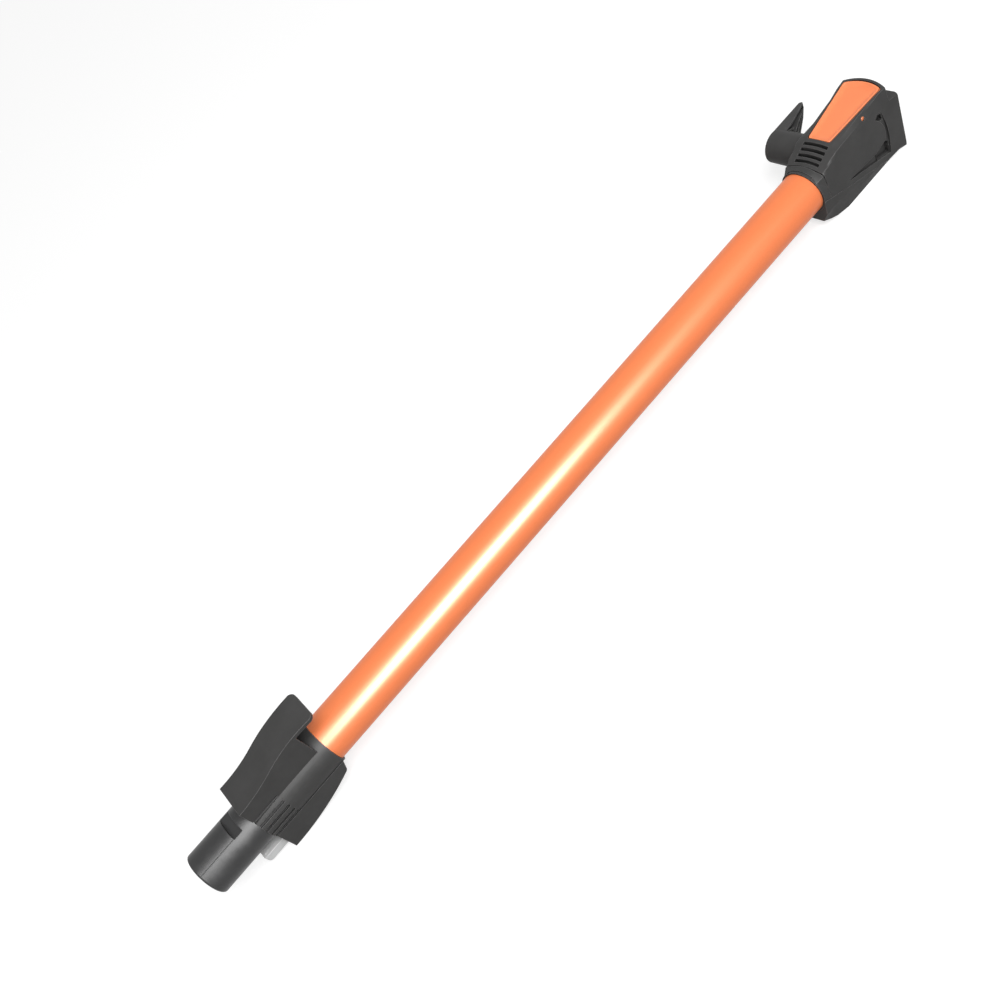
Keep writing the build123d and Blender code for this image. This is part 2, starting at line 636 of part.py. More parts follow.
with BuildPart() as head_shell:
    loft([head_outline(section, 0) for section in head_sections], ruled=True)
    with BuildSketch(Plane.YZ.offset(head_x)):
        Circle(collar_radius)
    extrude(amount=collar_length)
    # The crown stops short of the mouth in a bow that runs beside the button's upper end
    with BuildSketch(Plane.XY.offset(mouth_top)):
        with Locations((head_end, 0)):
            Rectangle(2 * (head_end - button_x - button_length), 2 * tube_diameter)
        with BuildLine(mode=Mode.PRIVATE) as crown_line:
            crown_low = Line((crown_x, -tube_diameter), (crown_x, -crown_end_half))
            crown_bow = ThreePointArc(crown_low @ 1, (crown_x + button_bow, 0), (crown_x, crown_end_half))
            crown_high = Line(crown_bow @ 1, (crown_x, tube_diameter))
            Polyline(crown_high @ 1, (button_x, tube_diameter), (button_x, -tube_diameter), crown_low @ 0)
        make_face(crown_line.edges(), mode=Mode.SUBTRACT)
    extrude(amount=tube_diameter, mode=Mode.SUBTRACT)
    with BuildSketch(Plane.YZ.offset(head_end)):
        Rectangle(3 * mouth_half_width, mouth_top, align=(Align.CENTER, Align.MIN))
        RectangleRounded(2 * mouth_half_width, 2 * mouth_top, mouth_corner, mode=Mode.SUBTRACT)
    extrude(amount=crown_x - head_end, mode=Mode.SUBTRACT)
    # A groove runs round the collar's rear edge, down to the parting line
    with BuildSketch(Plane.YZ.offset(head_x + collar_length)):
        with Locations((0, -parting_collar_depth)):
            Rectangle(4 * tube_radius, 2 * tube_radius, align=(Align.CENTER, Align.MIN))
        Circle(collar_radius - collar_groove_depth, mode=Mode.SUBTRACT)
    extrude(amount=collar_groove_width, mode=Mode.SUBTRACT)
    # The cover's share is taken away below the parting line, and the inner sleeve is put back
    extrude(cover_side.sketch, amount=tube_diameter, both=True, mode=Mode.SUBTRACT)
    with BuildSketch(Plane.YZ.offset(head_x)):
        Circle(sleeve_radius)
    extrude(amount=parting_length)
    with BuildSketch(Plane.XY.offset(-boss_depth)):
        with Locations(*head_screws):
            Circle(boss_diameter / 2)
    extrude(amount=boss_depth - sleeve_radius / 2)
    # Boss and spindle for the cord hook
    with BuildSketch(Plane.XZ):
        with Locations((hook_x, 0)):
            Circle(hook_radius)
    extrude(amount=-(hook_start - hook_gap))
    with BuildSketch(Plane.XZ):
        with Locations((hook_x, 0)):
            Circle(spindle_radius)
    extrude(amount=-spindle_end)
    with BuildSketch(Plane.XZ.offset(-spindle_end)):
        with Locations((hook_x, 0)):
            Circle(screw_hole)
    extrude(amount=screw_length, mode=Mode.SUBTRACT)
    with BuildSketch(Plane.XY.offset(-boss_depth)):
        with Locations(*head_screws):
            Circle(screw_hole)
    extrude(amount=screw_bite + seat_gap, mode=Mode.SUBTRACT)
    # The tube's bore, a narrower duct behind its end, and the socket
    with BuildSketch(Plane.YZ.offset(head_x)):
        Circle(sleeve_bore)
    extrude(amount=tube_in_head + seat_gap, mode=Mode.SUBTRACT)
    with BuildSketch(Plane.YZ.offset(head_x)):
        Circle(duct_radius)
    extrude(amount=head_length, mode=Mode.SUBTRACT)
    with BuildSketch(Plane.YZ.offset(head_end)):
        Circle(socket_radius)
    extrude(amount=-socket_depth, mode=Mode.SUBTRACT)
    with BuildSketch(Plane.YZ.offset(head_end)):
        Circle(socket_radius + socket_mouth_gap)
    extrude(amount=-socket_mouth_depth, mode=Mode.SUBTRACT)
    with BuildSketch(Plane.YZ.offset(head_end - socket_depth)):
        Circle(socket_radius + seal_grip)
    extrude(amount=-(seal_thickness + 2 * seat_gap), mode=Mode.SUBTRACT)
    # The connector's socket, below the round one
    with BuildSketch(Plane.YZ.offset(head_end)):
        with Locations((0, -plug_middle)):
            Rectangle(2 * (plug_half_width + socket_play), plug_height + 2 * socket_play)
    extrude(amount=-(head_length - head_contact_x + seat_gap), mode=Mode.SUBTRACT)
    # Pocket for the button, with holes for its pins, a window for its tooth and a well for its spring
    with BuildSketch(Plane.XY.offset(pocket_floor)):
        add(button_opening.sketch)
    extrude(amount=tube_diameter, mode=Mode.SUBTRACT)
    with BuildSketch(Plane.XZ):
        with Locations((pivot_x, pivot_z)):
            Circle(pivot_radius + running_gap)
    extrude(amount=tube_diameter, both=True, mode=Mode.SUBTRACT)
    with BuildSketch(Plane.XY.offset(notch_floor)):
        with Locations((tooth_x - 2 * slide_gap, 0)):
            window_size = (tooth_length + 4 * slide_gap, 2 * (tooth_half_width + slide_gap))
            Rectangle(*window_size, align=(Align.MIN, Align.CENTER))
    extrude(amount=pocket_floor - notch_floor, mode=Mode.SUBTRACT)
    with BuildSketch(Plane.XY.offset(spring_floor)):
        with Locations((spring_x, 0)):
            Circle(spring_radius + slide_gap)
    extrude(amount=pocket_floor - spring_floor, mode=Mode.SUBTRACT)
    # Four slots across the ramp below the button stop above the tube
    with BuildSketch(Plane.YZ.offset(head_x)) as slot_section:
        with Locations((0, tube_diameter / 2)):
            Rectangle(2 * slot_half_width, tube_diameter)
        Circle(slot_floor_radius, mode=Mode.SUBTRACT)
    for index in range(slot_count):
        with BuildSketch(Plane.YZ.offset(head_x + slot_first + index * slot_pitch)):
            add(slot_section.sketch_local)
        extrude(amount=slot_width, mode=Mode.SUBTRACT)
    # The side recesses
    for side in (-1, 1):
        for outline, floor in side_recesses:
            with BuildSketch(Plane.XZ.offset(side * floor)):
                add(outline.sketch_local)
            extrude(amount=side * tube_radius, mode=Mode.SUBTRACT)
    # The window for the wires, and the hole of the tube's screw
    with BuildSketch(Plane.XY.offset(-tube_diameter)):
        with Locations(head_window):
            RectangleRounded(window_length, window_width, window_corner)
        with Locations(tube_screw_places[1]):
            Circle(screw_hole)
    extrude(amount=tube_diameter, mode=Mode.SUBTRACT)
save(head_shell, "head_shell")

# Rear cover of the head: the same cross-sections below the parting line, hollow for the wires
with BuildPart() as head_cover_hollow:
    loft([head_outline(section, cover_wall) for section in head_sections], ruled=True)
    with BuildSketch(Plane.YZ.offset(head_x + cover_wall)):
        Rectangle(4 * tube_radius, 6 * tube_radius)
    extrude(amount=head_contact_x, mode=Mode.INTERSECT)

with BuildPart() as head_cover:
    loft([head_outline(section, 0) for section in head_sections], ruled=True)
    with BuildSketch(Plane.XZ):
        with Locations((-seat_gap, -seat_gap)):
            add(cover_side.sketch_local)
    extrude(amount=tube_diameter, both=True, mode=Mode.INTERSECT)
    add(head_cover_hollow.part, mode=Mode.SUBTRACT)
    with BuildSketch(Plane.XY.offset(-rest_depth + cover_wall / 2)):
        with Locations(*head_screws):
            Circle(boss_diameter / 2)
    extrude(amount=rest_depth - cover_wall / 2 - boss_depth - seat_gap)
    with BuildSketch(Plane.YZ.offset(head_x)):
        Circle(sleeve_radius + seat_gap)
    extrude(amount=head_length, mode=Mode.SUBTRACT)
    with BuildSketch(Plane.YZ.offset(head_x + head_contact_x)):
        with Locations((0, -plug_middle)):
            Rectangle(2 * (plug_half_width + socket_play), plug_height + 2 * socket_play)
    extrude(amount=head_length, mode=Mode.SUBTRACT)
    with BuildSketch(Plane.XY.offset(-boss_depth)):
        with Locations(*head_screws):
            Circle(screw_clearance)
    extrude(amount=-rest_depth, mode=Mode.SUBTRACT)
    with BuildSketch(Plane.XY.offset(-screw_seat_depth)):
        with Locations(*head_screws):
            Circle(screw_head / 2 + seat_gap)
    extrude(amount=-rest_depth, mode=Mode.SUBTRACT)
save(head_cover, "head_cover")

# Contact block at the bottom of the connector's socket, with a tongue that enters the plug
with BuildPart() as contact_block:
    with BuildSketch(Plane.YZ.offset(head_x + head_contact_x)):
        with Locations((0, -plug_middle)):
            block_play = socket_play - seat_gap
            Rectangle(2 * (plug_half_width + block_play), plug_height + 2 * block_play)
    extrude(amount=contact_body)
    with BuildSketch(Plane.YZ.offset(head_x + head_contact_x)):
        with Locations((0, -plug_middle)):
            tongue_half_width = plug_half_width - plug_shell - socket_play
            Rectangle(2 * tongue_half_width, plug_height - 2 * plug_shell - 2 * socket_play)
    extrude(amount=contact_body + pin_shown)
    with BuildSketch(Plane.YZ.offset(head_x + head_contact_x)):
        with Locations(*pin_places):
            Circle(pin_diameter / 2 + contact_wall + running_gap)
    extrude(amount=contact_body + pin_shown, mode=Mode.SUBTRACT)
save(contact_block, "contact_block")

with BuildPart() as contact_sleeves:
    with BuildSketch(Plane.YZ.offset(head_x + head_contact_x + seat_gap)):
        with Locations(*pin_places):
            Circle(pin_diameter / 2 + contact_wall)
            Circle(pin_diameter / 2 + running_gap, mode=Mode.SUBTRACT)
    extrude(amount=contact_body + pin_shown - 2 * seat_gap)
save(contact_sleeves, "contact_sleeves")

# Seal that the mating spigot's end presses on
with BuildPart() as socket_seal:
    with BuildSketch(Plane.YZ.offset(head_end - socket_depth - seat_gap)):
        Circle(socket_radius + seal_grip - seat_gap)
        Circle(spigot_bore, mode=Mode.SUBTRACT)
    extrude(amount=-seal_thickness)
save(socket_seal, "socket_seal")

# Release button: a tilted plate on a hub with two pins, two ribs, and the tooth below its wide end
tilt_rise = tan(radians(button_tilt))
button_end_x = button_x + button_length + button_bow
button_end_height = button_height + (button_end_x - button_x) * tilt_rise
with BuildPart() as release_button:
    with BuildSketch(Plane.XY.offset(pocket_floor)):
        add(button_outline.sketch)
    extrude(amount=tube_radius)
    with BuildSketch(Plane.XZ):
        with BuildLine():
            Polyline(
                (button_x, button_height),
                (button_end_x, button_end_height),
                (button_end_x, button_end_height - button_plate),
                (button_x, button_height - button_plate),
                close=True,
            )
        make_face()
    extrude(amount=tube_radius, both=True, mode=Mode.INTERSECT)
    fillet(release_button.faces().sort_by(Axis.Z)[-1].edges(), radius=button_edge)
    with BuildSketch(Plane.XZ):
        with Locations((pivot_x, pivot_z)):
            Circle(hub_radius)
    extrude(amount=button_low_half, both=True)
    with BuildSketch(Plane.XZ):
        with Locations((pivot_x, pivot_z)):
            Circle(pivot_radius)
    extrude(amount=pivot_half_length, both=True)
    with BuildSketch(Plane.XZ):
        with BuildLine():
            Polyline(
                (tooth_x, button_height),
                (tooth_x, tooth_depth),
                (tooth_x + tooth_land, tooth_depth),
                (tooth_x + tooth_length, tooth_depth + tooth_ramp),
                (tooth_x + tooth_length, button_end_height - button_plate),
                (tooth_x, button_end_height - button_plate),
                close=True,
            )
        make_face()
    extrude(amount=tooth_half_width, both=True)
    for side in (-1, 1):
        with BuildSketch(Plane.XZ.offset(side * rib_half_spacing)):
            with BuildLine():
                Polyline(
                    (pivot_x, rib_depth),
                    (tooth_x, rib_depth),
                    (tooth_x, button_end_height - button_plate),
                    (pivot_x, button_height),
                    close=True,
                )
            make_face()
        extrude(amount=rib_thickness / 2, both=True)
save(release_button, "release_button")

# Spring between the floor of its well and the underside of the button's narrow end
spring_ceiling = button_height + (spring_x - spring_radius - button_x) * tilt_rise - button_plate
spring_rise = spring_ceiling - spring_floor - spring_wire - 2 * seat_gap
with BuildLine() as spring_line:
    Helix(
        pitch=spring_rise / spring_turns,
        height=spring_rise,
        radius=spring_radius - spring_wire / 2,
        center=(spring_x, 0, spring_floor + seat_gap + spring_wire / 2),
    )
with BuildPart() as button_spring:
    with BuildSketch(Plane(spring_line.line @ 0, z_dir=spring_line.line % 0)):
        RegularPolygon(spring_wire / 2, 6)
    sweep(path=spring_line.line, is_frenet=True)
save(button_spring, "button_spring")

# Horn of the cord hook: it tapers and leans away from the head, and is hollow between two ribs on
# the side where the cord lies
horn_lean = (horn_reach - hook_end) / horn_length
horn_taper = (hook_radius - horn_tip_half_depth) / horn_length


def horn_strip(start, end, share, wall):
    """Corners of the strip that covers a share of the horn's tapering depth, inside a wall."""
    start_half = share * (hook_radius - horn_taper * start - wall)
    end_half = share * (hook_radius - horn_taper * end - wall)
    return [(hook_x + start, start_half), (hook_x + end, end_half)]


with BuildPart() as horn_pocket:
    pocket_edge = horn_strip(horn_pocket_start, horn_pocket_end, 1, horn_wall)
    with BuildSketch(Plane.XZ):
        Polygon(*pocket_edge, *[(x, -z) for x, z in reversed(pocket_edge)], align=None)
        for side in (-1, 1):
            rib_low, rib_high = horn_strip(horn_pocket_start, horn_rib_end, side / 3, horn_wall)
            with Locations(((rib_low[0] + rib_high[0]) / 2, (rib_low[1] + rib_high[1]) / 2)):
                rib_turn = degrees(atan2(rib_high[1] - rib_low[1], rib_high[0] - rib_low[0]))
                rib_length = horn_rib_end - horn_pocket_start + 2 * horn_rib_thickness
                Rectangle(rib_length, horn_rib_thickness, rotation=rib_turn, mode=Mode.SUBTRACT)
    extrude(amount=-horn_reach)
    with BuildSketch():
        pocket_start_y = hook_end + horn_lean * horn_pocket_start - horn_wall
        pocket_end_y = hook_end + horn_lean * horn_pocket_end - horn_wall
        Polygon(
            (pocket_edge[0][0], 0),
            (pocket_edge[0][0], pocket_start_y),
            (pocket_edge[1][0], pocket_end_y),
            (pocket_edge[1][0], 0),
            align=None,
        )
    extrude(amount=hook_radius, both=True, mode=Mode.INTERSECT)

with BuildPart() as horn:
    with BuildSketch():
        with BuildLine():
            inner_side = Polyline(*[(hook_x + x, y + girth) for x, y in horn_inner_points])
            tip_x = hook_x + horn_length
            Polyline(inner_side @ 1, (tip_x, horn_reach - horn_tip_half_depth), (tip_x, horn_reach))
            Polyline((tip_x, horn_reach), (hook_x, hook_end), inner_side @ 0)
        make_face()
    extrude(amount=hook_radius, both=True)
    with BuildSketch(Plane.XZ):
        side_edge = horn_strip(0, horn_length, 1, 0)
        Polygon(*side_edge, *[(x, -z) for x, z in reversed(side_edge)], align=None)
    extrude(amount=-horn_reach, mode=Mode.INTERSECT)
    fillet(horn.edges().filter_by(lambda edge: edge.length > horn_length), radius=horn_edge)
    add(horn_pocket.part, mode=Mode.SUBTRACT)

# Cord hook: the horn and a barrel that turns on the head's spindle, bored out for the washer
with BuildPart() as cord_hook:
    with BuildSketch(Plane.XZ.offset(-hook_start)):
        with Locations((hook_x, 0)):
            Circle(hook_radius)
    extrude(amount=hook_start - hook_end)
    fillet(cord_hook.edges().group_by(Axis.Y)[-1], radius=hook_edge)
    add(horn.part)
    with BuildSketch(Plane.XZ):
        with Locations((hook_x, 0)):
            Circle(spindle_radius + running_gap)
    extrude(amount=-spindle_end, mode=Mode.SUBTRACT)
    with BuildSketch(Plane.XZ.offset(hook_gap - spindle_end)):
        with Locations((hook_x, 0)):
            Circle(washer_radius + slide_gap)
    extrude(amount=hook_gap - hook_end, mode=Mode.SUBTRACT)
save(cord_hook, "cord_hook")

with BuildPart() as hook_washer:
    with BuildSketch(Plane.XZ.offset(-spindle_end)):
        with Locations((hook_x, 0)):
            Circle(washer_radius)
            Circle(screw_clearance, mode=Mode.SUBTRACT)
    extrude(amount=-washer_thickness)
save(hook_washer, "hook_washer")


def make_screws(seat, places, shank_length):
    """Screws with their heads on a plane that faces away from the shanks, at the given places."""
    with BuildPart() as screws:
        with BuildSketch(seat):
            with Locations(*places):
                Circle(screw_head / 2)
        extrude(amount=screw_head_height)
        with BuildSketch(seat):
            with Locations(*places):
                Circle(screw_shank / 2)
        extrude(amount=-shank_length)
        with BuildSketch(seat.offset(screw_head_height)):
            with Locations(*places):
                Rectangle(cross_length, cross_width)
                Rectangle(cross_width, cross_length)
        extrude(amount=-cross_depth, mode=Mode.SUBTRACT)
    return screws


hook_screw_seat = Plane((0, spindle_end + washer_thickness, 0), x_dir=(1, 0, 0), z_dir=(0, 1, 0))
hook_screw = make_screws(hook_screw_seat, [(hook_x, 0)], screw_length - 2 * washer_thickness)
save(hook_screw, "hook_screw")

cover_screw_seat = Plane((0, 0, -screw_seat_depth), x_dir=(1, 0, 0), z_dir=(0, 0, -1))
cover_screws = make_screws(cover_screw_seat, lower_screws + head_screws, screw_length)
save(cover_screws, "cover_screws")

tube_screw_seat = Plane((0, 0, -sleeve_radius), x_dir=(1, 0, 0), z_dir=(0, 0, -1))
tube_screws = make_screws(tube_screw_seat, tube_screw_places, tube_screw_length)
save(tube_screws, "tube_screws")
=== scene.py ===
import json
import math

import bmesh
import bpy
from mathutils import Matrix, Vector
from mathutils.bvhtree import BVHTree


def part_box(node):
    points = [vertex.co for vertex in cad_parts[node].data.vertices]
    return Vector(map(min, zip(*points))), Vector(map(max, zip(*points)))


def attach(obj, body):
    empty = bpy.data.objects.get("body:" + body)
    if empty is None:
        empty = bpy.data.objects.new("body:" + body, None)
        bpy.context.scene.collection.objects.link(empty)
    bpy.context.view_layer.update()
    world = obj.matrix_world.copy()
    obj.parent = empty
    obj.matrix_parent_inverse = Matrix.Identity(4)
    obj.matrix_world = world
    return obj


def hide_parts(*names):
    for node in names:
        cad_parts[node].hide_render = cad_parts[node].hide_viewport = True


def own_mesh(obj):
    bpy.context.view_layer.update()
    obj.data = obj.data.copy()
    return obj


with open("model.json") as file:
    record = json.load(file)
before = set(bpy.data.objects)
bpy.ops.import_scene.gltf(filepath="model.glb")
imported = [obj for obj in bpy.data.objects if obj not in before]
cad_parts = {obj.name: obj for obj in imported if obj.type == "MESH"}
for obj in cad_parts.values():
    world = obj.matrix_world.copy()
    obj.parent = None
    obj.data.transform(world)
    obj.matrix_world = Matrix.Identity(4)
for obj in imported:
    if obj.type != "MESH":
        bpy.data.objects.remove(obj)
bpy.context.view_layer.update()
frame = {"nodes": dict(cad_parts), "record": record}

# The camera stands above and in front of the lying wand, turned so that the tube climbs to the right
camera = {
    "place": (0.1635, -0.4764, 0.5471),
    "right": (0.6542, -0.6182, -0.4358),
    "up": (0.7422, 0.4137, 0.5273),
    "lens": 37.15,
    "sensor": 36,
    "nearest": 0.01,
}


def placeCamera(setup):
    right = Vector(setup["right"]).normalized()
    up = Vector(setup["up"])
    up = (up - right * up.dot(right)).normalized()
    back = right.cross(up)
    turn = Matrix((right, up, back)).transposed().to_4x4()
    data = bpy.data.cameras.new("photoCamera")
    data.lens = setup["lens"]
    data.sensor_width = setup["sensor"]
    data.clip_start = setup["nearest"]
    body = bpy.data.objects.new("photoCamera", data)
    body.matrix_world = Matrix.Translation(setup["place"]) @ turn
    bpy.context.scene.collection.objects.link(body)
    bpy.context.scene.camera = body


placeCamera(camera)
print("camera placed")

# Materials: every one is made of nodes and reads object coordinates. A noise pattern is given as its
# scale, detail and roughness, and most of its values lie in the range below
noiseSpread = (0.3, 0.7)


def newMaterial(name):
    material = bpy.data.materials.new(name)
    material.use_nodes = True
    tree = material.node_tree
    place = tree.nodes.new("ShaderNodeTexCoord")
    return material, tree, tree.nodes["Principled BSDF"], place.outputs["Object"]


def addNoise(tree, place, pattern, stretch=None):
    if stretch:
        mapping = tree.nodes.new("ShaderNodeMapping")
        mapping.inputs["Scale"].default_value = stretch
        tree.links.new(place, mapping.inputs["Vector"])
        place = mapping.outputs["Vector"]
    noise = tree.nodes.new("ShaderNodeTexNoise")
    for label, value in zip(("Scale", "Detail", "Roughness"), pattern):
        noise.inputs[label].default_value = value
    tree.links.new(place, noise.inputs["Vector"])
    return noise.outputs["Fac"]


def addRange(tree, value, low, high, spread=noiseSpread):
    mapped = tree.nodes.new("ShaderNodeMapRange")
    for label, limit in zip(("From Min", "From Max", "To Min", "To Max"), (*spread, low, high)):
        mapped.inputs[label].default_value = limit
    tree.links.new(value, mapped.inputs["Value"])
    return mapped.outputs["Result"]


def addTones(tree, value, tones, spread=noiseSpread):
    ramp = tree.nodes.new("ShaderNodeValToRGB")
    for element, place, tone in zip(ramp.color_ramp.elements, spread, tones):
        element.position = place
        element.color = (*tone, 1)
    tree.links.new(value, ramp.inputs["Fac"])
    return ramp.outputs["Color"]


def addMix(tree, factor, first, second):
    mixed = tree.nodes.new("ShaderNodeMix")
    mixed.data_type = "RGBA"
    tree.links.new(factor, mixed.inputs["Factor"])
    sockets = [socket for socket in mixed.inputs if socket.type == "RGBA"]
    for value, socket in zip((first, second), sockets):
        if isinstance(value, tuple):
            socket.default_value = (*value, 1)
        else:
            tree.links.new(value, socket)
    return next(socket for socket in mixed.outputs if socket.type == "RGBA")


def addMath(tree, operation, first, second=0):
    node = tree.nodes.new("ShaderNodeMath")
    node.operation = operation
    for value, socket in zip((first, second), node.inputs):
        if isinstance(value, (int, float)):
            socket.default_value = value
        else:
            tree.links.new(value, socket)
    return node.outputs[0]


def addBump(tree, shader, height, look, before=None):
    bump = tree.nodes.new("ShaderNodeBump")
    bump.inputs["Strength"].default_value = look["grain"]
    bump.inputs["Distance"].default_value = look["grainDepth"]
    tree.links.new(height, bump.inputs["Height"])
    if before:
        tree.links.new(before, bump.inputs["Normal"])
    tree.links.new(bump.outputs["Normal"], shader.inputs["Normal"])


# A moulded edge is never sharp: its shading is rounded, and a painted highlight makes it paler
def addSoftEdge(tree, look):
    rounded = tree.nodes.new("ShaderNodeBevel")
    rounded.samples = look["samples"]
    rounded.inputs["Radius"].default_value = look["edge"]
    surface = tree.nodes.new("ShaderNodeNewGeometry")
    turn = tree.nodes.new("ShaderNodeVectorMath")
    turn.operation = "DOT_PRODUCT"
    tree.links.new(rounded.outputs["Normal"], turn.inputs[0])
    tree.links.new(surface.outputs["Normal"], turn.inputs[1])
    highlightMask = addRange(tree, turn.outputs["Value"], 1, 0, look["edgeSpread"])
    return rounded.outputs["Normal"], highlightMask


# Painted shade: where two faces meet inwards the colour sinks as if shaded, and no edge highlight is painted
# there
def addCrevice(tree, look):
    crevice = tree.nodes.new("ShaderNodeAmbientOcclusion")
    crevice.samples = look["samples"]
    crevice.inputs["Distance"].default_value = look["reach"]
    return crevice.outputs["AO"]


def tint(tone, share):
    return tuple(min(1, part * share) for part in tone)


# Moulded plastic: a fine spark-eroded grain, faint mottling, and gloss that varies a little. The painted
# highlight is a share of the tone on an open rounded edge, and the painted shade a share of it deep in a
# crevice
plasticBase = {
    "mottle": 0.10,
    "edgeHighlight": 2.6,
    "paintedShade": 0.25,
    "sheen": 0.35,
    "edge": 0.0006,
    "edgeSpread": (0.90, 0.997),
    "reach": 0.003,
    "openSpread": (0.80, 0.97),
    "shade": (0.30, 0.85),
    "samples": 6,
    "patches": (45, 4, 0.6),
    "smudges": (120, 3, 0.55),
    "glossSpread": (-0.04, 0.05),
    "fine": (2600, 2, 0.5),
    "grain": 0.35,
    "grainDepth": 0.00006,
}
# Each finish may change the strength of the painted edge highlight and of the painted shade in crevices
plasticLooks = {
    "charcoal": {"tone": (0.057, 0.0563, 0.0556), "gloss": 0.46, "sheen": 0.06},
    "spigot": {"tone": (0.026, 0.026, 0.0264), "gloss": 0.38, "grain": 0.05, "mottle": 0.06,
               "sheen": 0.28, "paintedShade": 0.7},
    "button": {"tone": (0.95, 0.26, 0.098), "gloss": 0.36, "grain": 0.18, "mottle": 0.03,
               "edgeHighlight": 1.55, "paintedShade": 0.5, "shade": (0.45, 0.98)},
    "pale": {"tone": (0.63, 0.63, 0.63), "gloss": 0.42, "grain": 0.15, "mottle": 0.05, "edgeHighlight": 1.2},
    "black": {"tone": (0.015, 0.015, 0.016), "gloss": 0.5, "grain": 0.3},
    "rubber": {"tone": (0.022, 0.022, 0.023), "gloss": 0.62, "grain": 0.4, "mottle": 0.2, "edgeHighlight": 1.5},
    "brownWire": {"tone": (0.16, 0.06, 0.025), "gloss": 0.4, "grain": 0.1, "edgeHighlight": 1.2},
    "blueWire": {"tone": (0.035, 0.10, 0.42), "gloss": 0.4, "grain": 0.1, "edgeHighlight": 1.2},
}


def mouldedPlastic(name, ownLook):
    look = {**plasticBase, **ownLook}
    tone = look["tone"]
    material, tree, shader, place = newMaterial(name)
    rounded, highlightMask = addSoftEdge(tree, look)
    openness = addCrevice(tree, look)
    tones = (tint(tone, 1 - look["mottle"]), tint(tone, 1 + look["mottle"]))
    colour = addTones(tree, addNoise(tree, place, look["patches"]), tones)
    # Painted highlight: rounded edges out in the open are lightened towards a brighter share of the tone
    edgeHighlight = addMath(tree, "MULTIPLY", highlightMask, addRange(tree, openness, 0, 1, look["openSpread"]))
    colour = addMix(tree, edgeHighlight, colour, tint(tone, look["edgeHighlight"]))
    # Painted shade: in crevices and hollows the colour is darkened towards a share of the tone, by ambient
    # occlusion
    lit = addRange(tree, openness, 0, 1, look["shade"])
    colour = addMix(tree, lit, tint(tone, look["paintedShade"]), colour)
    tree.links.new(colour, shader.inputs["Base Color"])
    smoother, rougher = look["glossSpread"]
    smudges = addNoise(tree, place, look["smudges"])
    gloss = addRange(tree, smudges, look["gloss"] + smoother, look["gloss"] + rougher)
    tree.links.new(gloss, shader.inputs["Roughness"])
    shader.inputs["Specular IOR Level"].default_value = look["sheen"]
    addBump(tree, shader, addNoise(tree, place, look["fine"]), look, before=rounded)
    return material


# Lacquered metal: fine flakes under a clear coat, drawn very slightly along the tube
tubeLook = {
    "deep": (0.84, 0.205, 0.068),
    "middle": (0.90, 0.235, 0.082),
    "bright": (0.96, 0.265, 0.098),
    "flakes": (2400, 2, 0.7),
    "patches": (14, 3, 0.5),
    "patchStretch": (0.3, 1, 1),
    "patchShare": (0.35, 0.65),
    "metallic": 0.05,
    "rough": 0.40,
    "roughSpread": (-0.03, 0.04),
    "drawn": (700, 2, 0.5),
    "drawnStretch": (0.02, 1, 1),
    "grain": 0.12,
    "grainDepth": 0.00003,
    "coat": 0.13,
    "coatRough": 0.27,
    "sheen": 0.12,
}


def lacqueredTube(name, look):
    material, tree, shader, place = newMaterial(name)
    patches = addNoise(tree, place, look["patches"], look["patchStretch"])
    flakes = addTones(tree, addNoise(tree, place, look["flakes"]), (look["deep"], look["bright"]))
    colour = addMix(tree, addRange(tree, patches, *look["patchShare"]), flakes, look["middle"])
    tree.links.new(colour, shader.inputs["Base Color"])
    smoother, rougher = look["roughSpread"]
    drawn = addNoise(tree, place, look["drawn"], look["drawnStretch"])
    gloss = addRange(tree, drawn, look["rough"] + smoother, look["rough"] + rougher)
    tree.links.new(gloss, shader.inputs["Roughness"])
    addBump(tree, shader, drawn, look)
    shader.inputs["Metallic"].default_value = look["metallic"]
    shader.inputs["Coat Weight"].default_value = look["coat"]
    shader.inputs["Coat Roughness"].default_value = look["coatRough"]
    shader.inputs["Specular IOR Level"].default_value = look["sheen"]
    return material


# Bare metal: slightly stained and brushed
metalBase = {
    "stain": (300, 4, 0.6),
    "stainShade": 0.8,
    "stainSpread": (0.35, 0.65),
    "brushed": (1500, 2, 0.5),
    "brushedStretch": (1, 1, 0.1),
    "roughSpread": (-0.06, 0.08),
    "grain": 0.15,
    "grainDepth": 0.00003,
}
metalLooks = {
    "brass": {"tone": (0.78, 0.56, 0.24), "rough": 0.28},
    "steel": {"tone": (0.62, 0.62, 0.63), "rough": 0.32},
}


def bareMetal(name, ownLook):
    look = {**metalBase, **ownLook}
    material, tree, shader, place = newMaterial(name)
    tones = (tint(look["tone"], look["stainShade"]), look["tone"])
    colour = addTones(tree, addNoise(tree, place, look["stain"]), tones, look["stainSpread"])
    tree.links.new(colour, shader.inputs["Base Color"])
    shader.inputs["Metallic"].default_value = 1
    smoother, rougher = look["roughSpread"]
    brushed = addNoise(tree, place, look["brushed"], look["brushedStretch"])
    gloss = addRange(tree, brushed, look["rough"] + smoother, look["rough"] + rougher)
    tree.links.new(gloss, shader.inputs["Roughness"])
    addBump(tree, shader, brushed, look)
    return material


finishes = {name: mouldedPlastic(name + "Plastic", look) for name, look in plasticLooks.items()}
finishes["tube"] = lacqueredTube("orangeLacquer", tubeLook)
finishes["brass"] = bareMetal("contactBrass", metalLooks["brass"])
finishes["steel"] = bareMetal("zincSteel", metalLooks["steel"])
print("materials made")

